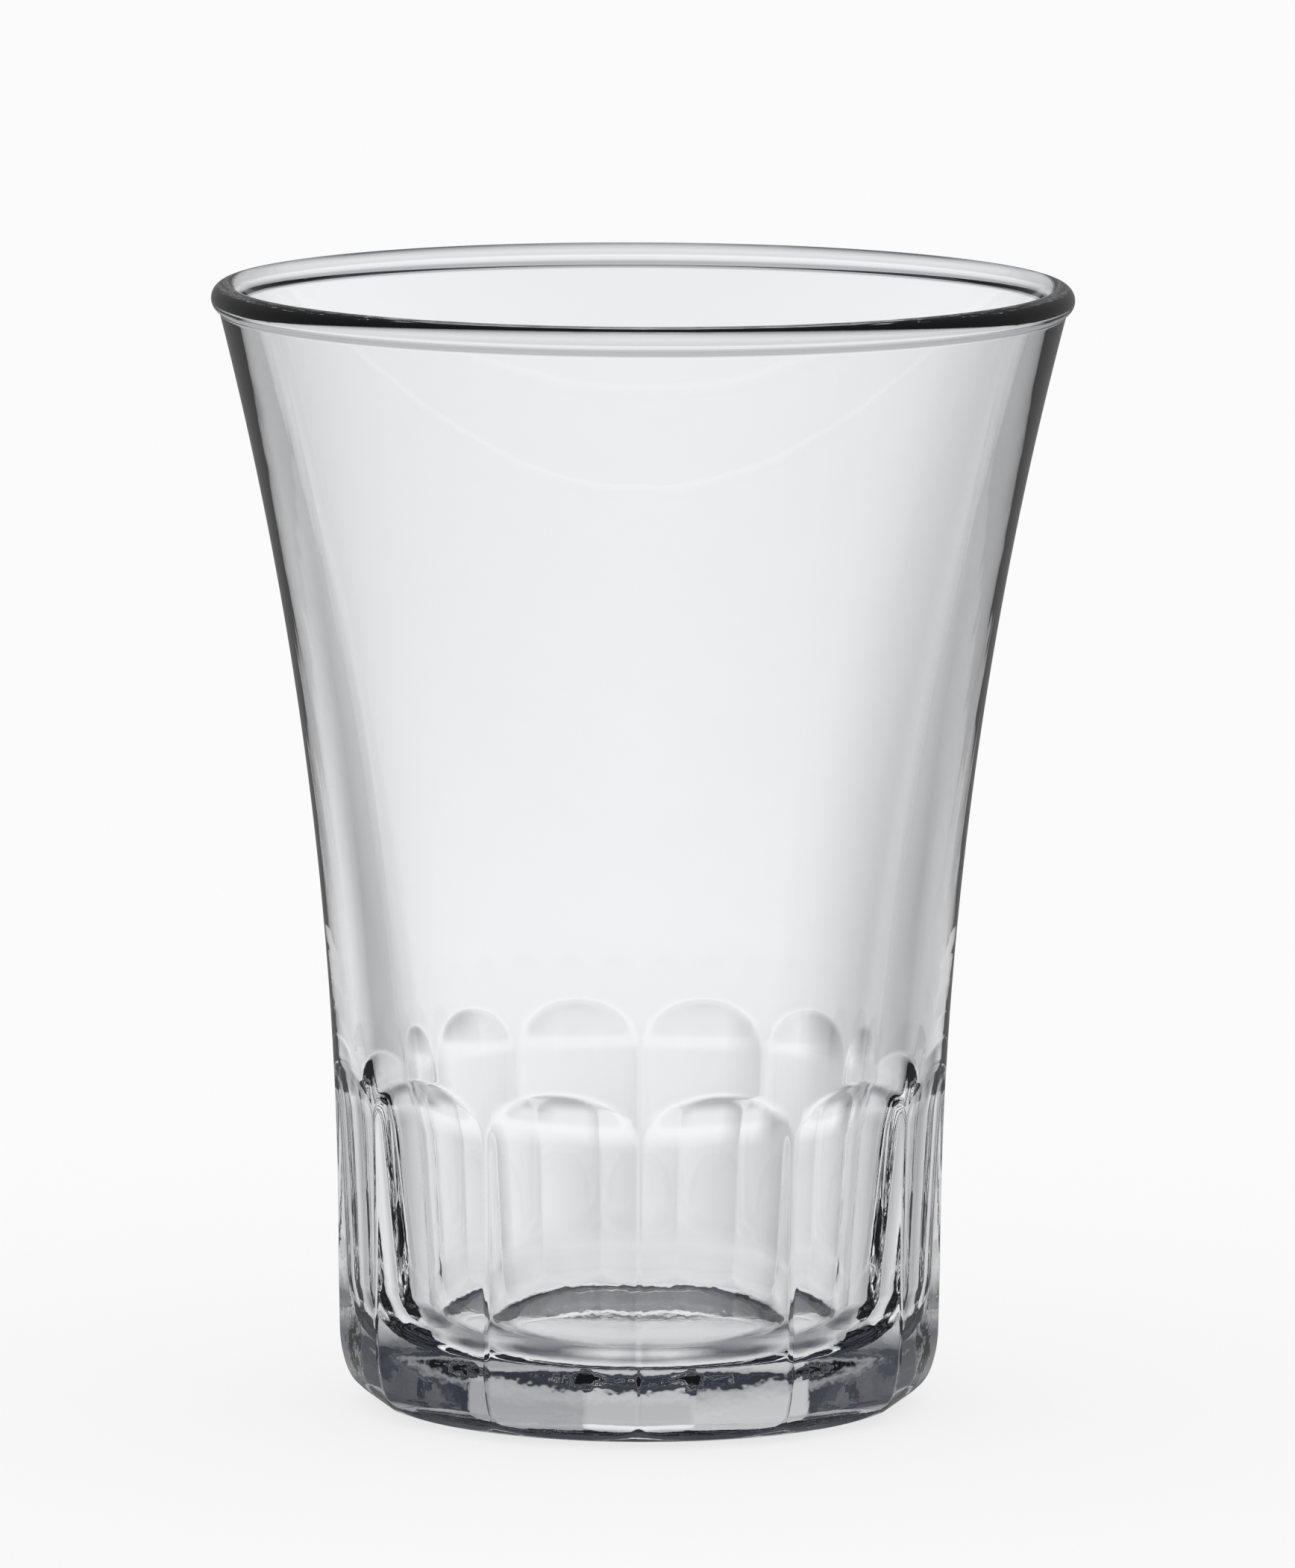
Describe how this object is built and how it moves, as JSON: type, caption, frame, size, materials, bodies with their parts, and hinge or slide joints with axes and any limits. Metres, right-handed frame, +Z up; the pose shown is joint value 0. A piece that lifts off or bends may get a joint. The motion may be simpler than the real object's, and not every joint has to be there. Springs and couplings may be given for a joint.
{
  "type": "juice glass",
  "caption": "Small flared tumbler of clear pressed glass with a thick base, flat arch-topped flutes round the foot and a rounded rim.",
  "frame": {"origin": "centre of the foot, on the plane that the glass stands on", "axes": "+Z up along the glass's axis, out of its mouth; an arris between two flutes faces -Y"},
  "size_m": [0.0802, 0.0802, 0.1052],
  "materials": {
    "clear_glass": "clear pressed soda-lime glass, fire-polished and glossy, with slight mould waviness"
  },
  "bodies": {
    "root": {"tumbler": "clear_glass"}
  },
  "joints": []
}
